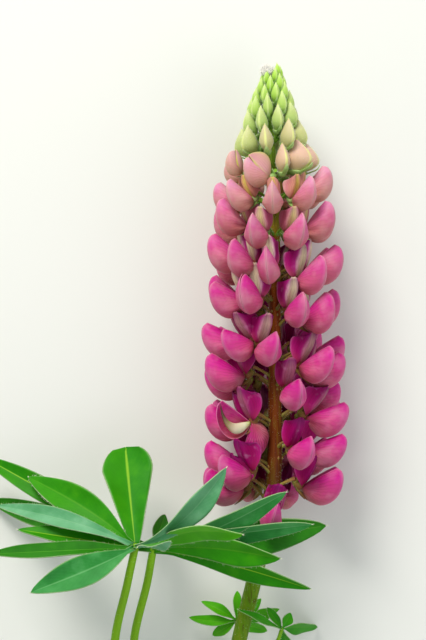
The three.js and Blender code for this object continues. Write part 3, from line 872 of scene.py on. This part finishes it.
def pedicel(rise, seed, skin):
    """A flower stalk from the stem at x = 0 to the calyx at x = PEDICEL_SPAN, rising by rise."""
    points = (
        (-0.6, 0, -0.3), (PEDICEL_SPAN * 0.3, 0, rise * 0.35), (PEDICEL_SPAN * 0.7, 0, rise * 0.8),
        (PEDICEL_SPAN + 0.7, 0, rise + 0.1),
    )
    line, ways = smooth_path(points, 8)
    stalk = tube("pedicel", line, ways, (0.95, 0.68, 0.6, 0.56, 0.55, 0.56, 0.6, 0.72, 0.8), 8, skin)
    down = rough_down(26, lambda s: ((PEDICEL_SPAN * s, 0, rise * s), 0.58), seed, 0.7)
    return joined("stalk", [stalk, hairs("down", down, HAIR)])


def bud_place(plump, hook):
    """A closed bud 1 mm long and 1 mm deep, standing along z: its back is nearly straight, its front is a
    full curve, and two ridges run up the front and the back."""
    outline = ((0, 0.16), (0.1, 0.42), (0.26, 0.82), (0.42, 1.0), (0.6, 0.86), (0.78, 0.52), (0.91, 0.2),
               (1, 0.0))

    def place(turn, v, ring):
        full = ring * along(outline, v)
        side = cos(turn)
        x = side * full * (0.56 if side > 0 else 0.4)
        y = copysign(abs(sin(turn)) ** 1.55, sin(turn)) * full * 0.5 * plump
        return (x + hook * (0.9 * sin(pi * v * 0.9) - 1.1 * v**3), y, v)

    return place


def young_cup_place(turn, v, ring):
    wide = 0.3 * along(((0, 0.5), (0.5, 1.0), (1, 1.25)), v)
    deep = 0.25 * along(((0, 0.5), (0.5, 1.0), (1, 1.2)), v)
    return (ring * wide * cos(turn), ring * deep * sin(turn), -0.07 + 0.2 * v)


def young_lip_place(side, plump):
    def place(u, v):
        full = along(((0, 0.3), (0.25, 0.62), (0.6, 1.0), (1, 1.1)), v)
        half = 0.34 * (1 - v) ** 0.8 + 0.01
        reach = (0.56 if side > 0 else 0.42) * full + 0.02
        turn = u * half * 1.9
        return (side * cos(turn) * reach, sin(turn) * reach * 0.9 * plump, 0.36 * v)

    return place


def cylinder_map(obj):
    """Lays a standing bud's map: u round it from its back, v up it."""
    layer = obj.data.uv_layers["UVMap"].data
    for face in obj.data.polygons:
        places = [obj.data.vertices[obj.data.loops[i].vertex_index].co for i in face.loop_indices]
        turns = [atan2(co.y, co.x - 0.02) for co in places]
        # a face across the seam keeps its corners on one side of it
        wrap = max(turns) - min(turns) > pi
        for i, co, turn in zip(face.loop_indices, places, turns):
            layer[i].uv = (0.5 + (turn + (tau if wrap and turn < 0 else 0)) / tau, co.z)


def bud_pattern(name, plump, hook):
    place = bud_place(plump, hook)
    body = closed_round(name, place, BUD, 20, 16)
    cylinder_map(body)
    cup = closed_round("cup", young_cup_place, CALYX_YOUNG, 10, 6)
    lips = [sheet("lip", 4, 6, young_lip_place(side, plump), CALYX_YOUNG, 0.02) for side in (1, -1)]
    own = random.Random(31)
    down = []
    for _ in range(130):
        turn, v = own.uniform(-pi, pi), own.uniform(0.06, 0.97)
        root, inner = Vector(place(turn, v, 1)), Vector(place(turn, v, 0))
        way = ((root - inner).normalized() + Vector((0, 0, own.uniform(0.2, 1.0)))).normalized()
        down.append((root, way, own.uniform(0.05, 0.11), 0.006))
    return joined(name, [body, cup, hairs("down", down, HAIR)] + lips)


# open flowers: plumpness and gape of the wings, spread, lean, height and flank of the banner, and a seed
OPEN_FLOWERS = {
    "old": (
        (4.5, 0.5, 86, 27, 14.6, 8.0, 1), (4.3, 0.8, 84, 32, 15.0, 8.2, 2), (4.7, 0.3, 90, 24, 14.2, 7.8, 3)),
    "open": ((4.5, 0.3, 90, 25, 13.8, 7.6, 9), (4.3, 0.5, 86, 29, 14.2, 7.8, 10)),
    "wide": ((4.6, 1.8, 86, 29, 14.4, 8.0, 4),),
    "burst": ((4.2, 0.6, 84, 30, 14.8, 7.6, 5),),
    "young": ((4.6, 0.1, 88, 31, 12.8, 7.0, 6), (4.5, 0.1, 90, 35, 12.2, 6.8, 7)),
}
PATTERNS = {kind: [open_flower(kind, *row) for row in rows] for kind, rows in OPEN_FLOWERS.items()}
PATTERNS["parting"] = [shut_flower("parting", 4.4, 7.8, 2.3, 2.3, 11)]
PATTERNS["closed"] = [shut_flower("closed", 4.3, 2.6, 3.6, 3.7, 8)]
PATTERNS["shut"] = [shut_bud("shut", 1.0, 10.2, 8.4), shut_bud("shut", 0.94, 10.6, 8.0)]
PATTERNS["swollen"] = [shut_bud("swollen", 0.9, 15.5, 10.4)]
# how much larger some are than the other flowers of their whorl, how much further out, and their own age
GROWN = {"parting": 0.94, "closed": 0.74, "swollen": 1.1}
FURTHER = {"closed": 2.4, "swollen": 1.3}
STAGE = {"parting": 0.27, "closed": 0.22, "shut": 1.0, "swollen": 1.0}
CLOSED_BUD = bud_pattern("closed_bud", 1.0, 0.1)
PEDICEL_PATTERNS = [pedicel(1.5, 21, PEDICEL), pedicel(2.1, 22, PEDICEL), pedicel(1.0, 23, PEDICEL)]
YOUNG_PEDICEL = pedicel(1.6, 24, PEDICEL_YOUNG)
# how many of the lowest whorls have petals in full colour, and how many have browned stalks
FULL_COLOURED, BROWN_STALKED = 6, 7


# ---------------- the spike
def give_age(obj, age, vary):
    """Gives a flower or bud its age, varied a little, and a number of its own."""
    stamp(obj, "age", max(0.0, min(1.0, age + rng.uniform(-vary, vary))))
    stamp(obj, "own", rng.random())


def flower_stalk(pattern, joint, stem_radius, size):
    """A copy of a stalk laid from the stem up to a flower's calyx, and how it lies."""
    foot = Vector((stem_radius - 0.2, 0, joint.z - 1.7 * size))
    span = joint - foot
    way, side = span.normalized(), Vector((-span.y, span.x, 0)).normalized()
    lay = Matrix((way, side, way.cross(side))).transposed().to_4x4()
    thick = 0.9 + 0.1 * size
    stretch = Matrix.Diagonal((span.length / PEDICEL_SPAN, thick, thick, 1))
    return copy_of(pattern, "pedicel_copy"), Matrix.Translation(foot) @ lay @ stretch


flower_count = 0
for k, (y, size, age, usual, flowers) in enumerate(WHORLS):
    whorl = f"whorl_{k + 1:02d}"
    for j, (azimuth, lift, pitch, *own) in enumerate(flowers):
        flower_count += 1
        kind, *aside = own or [usual]
        patterns = PATTERNS[kind]
        flower = copy_of(patterns[flower_count % len(patterns)], f"{whorl}_flower_{j + 1}")
        grown = size * rng.uniform(0.97, 1.03) * GROWN.get(kind, 1)
        mirrored = (azimuth < 0) != (kind == "burst")
        frame_at, stem_radius = on_stem(y + lift, azimuth)
        # flowers behind the stem are less regular than those in front
        loose = 1.0 if abs(azimuth) > 100 else 0.35
        lie = Matrix.Translation((CLAW_REACH * (0.5 + 0.5 * size) + FURTHER.get(kind, 0), 0, 0))
        lie = lie @ turn_about("Z", loose * rng.uniform(-5, 5) + sum(aside))
        lie = lie @ turn_about("X", rng.uniform(-6, 6))
        lie = lie @ turn_about("Y", -pitch - loose * rng.uniform(-3, 3))
        lie = lie @ Matrix.Diagonal((1, -1 if mirrored else 1, 1, 1)) @ Matrix.Scale(grown, 4)
        flower.data.transform(frame_at @ lie)
        if mirrored:
            flower.data.flip_normals()
        pattern = PEDICEL_PATTERNS[flower_count % 3] if k < BROWN_STALKED else YOUNG_PEDICEL
        stalk, stalk_lie = flower_stalk(pattern, lie @ CLAW_TO_CALYX, stem_radius, size)
        stalk.data.transform(frame_at @ stalk_lie)
        flower = joined(flower.name, [flower, stalk])
        give_age(flower, STAGE.get(kind, age), 0.03)
        settle(flower, "petal" if k < FULL_COLOURED else "petal_young", whorl)

for k, (y, count, first, distance, length, width, depth, lean, age) in enumerate(BUD_RINGS):
    ring = f"bud_ring_{k + 1}"
    for j in range(count):
        azimuth = first + j * 360 / count + rng.uniform(-3, 3)
        bud = copy_of(CLOSED_BUD, f"{ring}_bud_{j + 1}")
        frame_at, stem_radius = on_stem(y + 1.3 * sin(radians(azimuth)), azimuth)
        tilt = lean + rng.uniform(-3, 3)
        foot = distance - length * 0.4 * sin(radians(tilt)) - 0.1 * depth
        grow = Matrix.Diagonal((depth * 1.04, width * 1.04, length * rng.uniform(0.96, 1.04), 1))
        lie = Matrix.Translation((foot, 0, 0.9)) @ turn_about("Y", tilt) @ turn_about("Z", rng.uniform(-8, 8))
        bud.data.transform(frame_at @ lie @ grow)
        low = -max(0.0, distance - 3) * 0.6
        points = ((stem_radius - 0.2, 0, low), ((foot + stem_radius) * 0.55, 0, low * 0.4), (foot, 0, 1.0))
        line, ways = smooth_path(points, 5)
        stalk = tube("stalk", line, ways, (0.7, 0.55, 0.5, 0.5, 0.55, 0.65), 7, PEDICEL_YOUNG)
        stalk.data.transform(frame_at)
        bud = joined(bud.name, [bud, stalk])
        give_age(bud, age, 0.07)
        settle(bud, "bud", ring)

# youngest buds, packed round the end of the stem with one standing over the others
TIP_BUDS = [(174.2, 2.8, 6.4, 2.2, 4)] + [(172.4 - (j % 3) * 0.9, 1.9, 5.4, 1.2, 9) for j in range(1, 9)]
tip_buds = []
for j, (height, across, length, out, tilt) in enumerate(TIP_BUDS):
    bud = copy_of(CLOSED_BUD, f"tip_bud_{j}")
    frame_at, _ = on_stem(height, 62 + j * 137.5)
    lie = Matrix.Translation((out, 0, 0.4)) @ turn_about("Y", tilt)
    bud.data.transform(frame_at @ lie @ Matrix.Diagonal((across, across, length, 1)))
    tip_buds.append(bud)

# the woolly crown on one side of them: a ball of wool with hairs standing all over it
TUFT_RADIUS, TUFT_HAIRS = 2.0, 850
tuft_centre = stem_at(173.6)[0] + Vector((-1.6, 3.6, 0.9))
tuft_core = dome("tuft_core", tuft_centre, Matrix.Identity(3), TUFT_RADIUS, TUFT_RADIUS, WOOL, 14, 10)
tuft = []
for _ in range(TUFT_HAIRS):
    turn, high = rng.uniform(0, tau), rng.uniform(-0.3, 1) * 1.5
    out = Vector((cos(turn) * cos(high), sin(high), sin(turn) * cos(high)))
    astray = Vector((rng.uniform(-0.9, 0.9), rng.uniform(-0.3, 0.9), rng.uniform(-0.9, 0.9)))
    way = (out * 0.7 + astray).normalized()
    tuft.append((tuft_centre + out * (TUFT_RADIUS - 0.05), way, rng.uniform(0.9, 2.2), WOOL_THICK))
tip = joined("spike_tip_buds", tip_buds + [tuft_core, hairs("tuft", tuft, WOOL)])
stamp(tip, "age", 0.0)
stamp(tip, "own", 0.5)
settle(tip, "bud", "spike_tip")

# ---------------- stem
STEM_HAIRS = 2600


def stem_lumps(turn, i):
    """Seven low ribs and a slow wander between them."""
    return 0.018 * sin(turn * 7) + 0.008 * sin(turn * 3 + i * 0.05)


def scar_of(y, azimuth):
    """Where the bract under a flower has fallen."""
    frame_at, radius = on_stem(y, azimuth)

    def place(u, v):
        return (radius - 0.15 + 0.6 * sin(pi * 0.5 * v) - 0.5 * u * u, u * (1 - v) ** 0.8, -0.8 + 1.4 * v)

    return place, frame_at


def stem_hair():
    y = rng.uniform(-133, 150)
    centre, up, radius = stem_at(y)
    out = outward_at(rng.uniform(0, tau), up)
    way = (out + up * rng.uniform(-0.2, 0.7)).normalized()
    return centre + out * (radius - 0.05), way, rng.uniform(0.4, 1.0), HAIR_THICK


line, ways = smooth_path([p[:3] for p in STEM_LINE], 130)
# the stem swells a little at each whorl
radii = [stem_at(p.y)[2] + sum(0.22 * exp(-((p.y - w[0]) / 1.6) ** 2) for w in WHORLS) for p in line]
stem_parts = [tube("stem_rind_tube", line, ways, radii, 28, RIND, lumps=stem_lumps)]
# the cut end is a low dome of rind with a dome of pith in its middle
way = -ways[0]
side = way.orthogonal().normalized()
for name, across, height, material in (("cut_ring", 0.86, 0.1, CUT_RIND), ("cut_pith", 0.55, 0.2, PITH)):
    axes = (side, way.cross(side), way)
    stem_parts.append(dome(name, line[0], axes, across * radii[0], height, material, 28, 12))
down = [stem_hair() for _ in range(STEM_HAIRS)]
for y, *_, flowers in WHORLS:
    for azimuth, lift, *_ in flowers:
        place, frame_at = scar_of(y + 0.35 * lift - 0.4, azimuth)
        scar = sheet("scar", 4, 5, place, CALYX_YOUNG if y > 100 else PEDICEL, LIP_THICK)
        scar.data.transform(frame_at)
        stem_parts.append(scar)
stem = joined("stem_body", stem_parts + [hairs("stem_hair", down, HAIR)])
settle(stem, "stem", "stem")

# ---------------- leaves
PETIOLE_STEPS = 44
# the two blades with a fringed margin, the one that ends bluntly, and how many hairs a blade has on each edge
FRINGED, BLUNT = ("back", "upper"), "back"
FRINGE_HAIRS, MARGIN_HAIRS, TIP_HAIRS = 80, 40, 10


def petiole(leaf):
    hub = Vector(HUBS[leaf])
    thick, thin = PETIOLE_RADII[leaf]
    joint, points = PETIOLES[leaf]
    line, ways = smooth_path([stem_at(joint)[0], *points, HUBS[leaf]], PETIOLE_STEPS)
    # it tapers from a flared foot to its hub
    taper = (thin - thick) / PETIOLE_STEPS
    radii = [thick + taper * i + 0.54 * thick * exp(-i / 2.2) for i in range(PETIOLE_STEPS + 1)]
    stalk = tube("stalk", line, ways, radii, 16, PETIOLE, lumps=lambda turn, i: 0.03 * sin(turn * 5))
    swell = thin * HUB_SWELL
    knob = dome("knob", hub, Matrix.Identity(3), swell, swell, PETIOLE, 14, 10)
    roots = []
    for _ in range(int(160 * thick)):
        i = rng.randrange(2, PETIOLE_STEPS)
        turn = rng.uniform(0, tau)
        side = ways[i].orthogonal().normalized()
        out = side * cos(turn) + ways[i].cross(side) * sin(turn)
        way = (out + ways[i] * 0.4).normalized()
        roots.append((line[i] + out * radii[i] * 0.95, way, rng.uniform(0.4, 0.9), HAIR_THICK))
    whole = joined(f"petiole_{leaf}_stalk", [stalk, knob, hairs("petiole_hair", roots, HAIR)])
    settle(whole, "petiole", f"petiole_{leaf}")


def blade_place(base, tip, width, widest, arch, roll, wave, swing, heel, blunt):
    """A blade from base to tip: its outline, the fold along its midrib, its arch and its sideways swing."""
    length = (tip - base).length
    way = (tip - base).normalized()
    side = Matrix.Rotation(radians(roll), 3, way) @ way.cross(Vector((0, 0, 1))).normalized()
    up = side.cross(way).normalized()
    left = Vector((-way.y, way.x, 0)).normalized()

    def place(u, v):
        if v >= widest:
            spread = max(cos((v - widest) / (1 - widest) * pi / 2), 0) ** (0.45 if blunt else 0.72)
        elif blunt:
            spread = 0.14 + 0.86 * (v / widest) ** 0.9
        else:
            spread = sin(v / widest * pi / 2) ** 1.35
        half = max(width / 2 * spread, heel * (1 - v) ** 1.5 + 0.02)
        fold = abs(u) ** 1.25 * half * 0.32 + 0.16 * half * u * u * sin(wave + v * 9 + u)
        point = base + way * (v * length) + side * (u * half) + up * fold + left * (swing * sin(pi * v**0.85))
        return (point.x, point.y, point.z + arch * sin(pi * v))

    return place


def margin_hairs(place, large, fringed):
    """Hairs standing out from both edges of a blade, and a brush of them at its tip."""
    roots = []
    for _ in range(FRINGE_HAIRS if fringed else MARGIN_HAIRS):
        v = rng.uniform(0.12, 0.98)
        for u in (-1, 1):
            here = Vector(place(u, v))
            outward = (here - Vector(place(u * 0.8, v))).normalized() + Vector((0, 0, rng.uniform(-0.5, 0.5)))
            length = rng.uniform(0.4, 1.1) * (1 if large else 0.6)
            roots.append((here, outward.normalized(), length, FRINGE_THICK if fringed else HAIR_THICK))
    end = Vector(place(0, 1))
    last = end - Vector(place(0, 0.93))
    for _ in range(TIP_HAIRS):
        way = last.normalized() + Vector([rng.uniform(-0.4, 0.4) for _ in range(3)])
        length = rng.uniform(0.8, 1.6) * (1 if large else 0.5)
        roots.append((end - last * 0.1, way.normalized(), length, BRUSH_THICK))
    return roots


def leaflet(leaf, name, tip, width, widest, arch, roll, sides):
    hub, tip = Vector(HUBS[leaf]), Vector(tip)
    thick, thin = PETIOLE_RADII[leaf]
    large = thick > 1
    way = (tip + Vector((0, 0, arch * 2.5)) - hub).normalized()
    # blades that run level or rise are set on top of the hub, those that fall on its side
    base = hub + way * (thin * 0.3) + Vector((0, 0, thin * 0.75 if tip.z > hub.z - 20 else 0.2))
    swing, heel = SWING.get(f"{leaf}_{name}", 0), 1.1 if large else 0.5
    wave = rng.uniform(0, 6)
    place = blade_place(base, tip, width * 1.06, widest, arch, roll, wave, swing, heel, name == BLUNT)
    face, back = (LEAF_SIDES[side] for side in sides.split("/"))
    grid = 12 if large else 8
    blade = sheet("blade", grid, grid * 2, place, face, 0.34 if large else 0.26, back=back, offset=-1.0)
    hair = hairs("margin", margin_hairs(place, large, name in FRINGED), HAIR)
    whole = joined(f"leaf_{leaf}_{name}", [blade, hair])
    stamp(whole, "own", rng.random())
    settle(whole, "leaf", f"leaflet_{leaf}_{name}")


for leaf, leaflets in LEAFLETS.items():
    petiole(leaf)
    for row in leaflets:
        leaflet(leaf, *row)

for patterns in (*PATTERNS.values(), PEDICEL_PATTERNS, [YOUNG_PEDICEL, CLOSED_BUD]):
    for pattern in patterns:
        bpy.data.objects.remove(pattern)

# ---------------- studio
bpy.ops.object.select_all(action="DESELECT")
bpy.ops.mesh.primitive_plane_add(size=6, location=(0, 0, -0.0002))
floor = bpy.context.active_object
floor.name = "studio_floor"
# matt card: pale, and dull enough to show no reflection
_, paint_card = plain("matt_card", 0.8)
floor.data.materials.append(paint_card("#eceee8"))


def lamp(name, place, size, power, colour):
    data = bpy.data.lights.new(name, "AREA")
    data.shape = "DISK"
    data.size = size
    data.energy = power
    data.color = linear(colour)[:3]
    light = bpy.data.objects.new(name, data)
    light.location = place
    aim = Vector((0.02, 0.03, 0.03))
    light.rotation_euler = (aim - Vector(place)).to_track_quat("-Z", "Y").to_euler()
    bpy.context.collection.objects.link(light)


lamp("key", (-0.35, 0.95, 0.85), 0.6, 13.5, "#fffbf5")
lamp("fill", (0.7, -0.35, 0.9), 1.1, 3.5, "#eef4ff")

world = bpy.data.worlds.new("studio_world")
bpy.context.scene.world = world
world.use_nodes = True
background = next(n for n in world.node_tree.nodes if n.type == "BACKGROUND")
background.inputs["Color"].default_value = linear("#f4f6f4")
background.inputs["Strength"].default_value = 0.52
bpy.context.scene.view_settings.view_transform = "Standard"

# the camera looks straight down on the spike, with 256 mm of it in view
VIEW_X, VIEW_Y, VIEW_HEIGHT = -24.8 + ORIGIN_X, 78 + ORIGIN_Y, 256
LENS, SENSOR = 110, 36
camera_data = bpy.data.cameras.new("camera")
camera_data.sensor_fit = "VERTICAL"
camera_data.sensor_height = SENSOR
camera_data.lens = LENS
camera_data.clip_start = 0.01
camera = bpy.data.objects.new("camera", camera_data)
camera.location = (VIEW_X * MM, VIEW_Y * MM, (30 + VIEW_HEIGHT * LENS / SENSOR) * MM)
bpy.context.collection.objects.link(camera)
bpy.context.scene.camera = camera
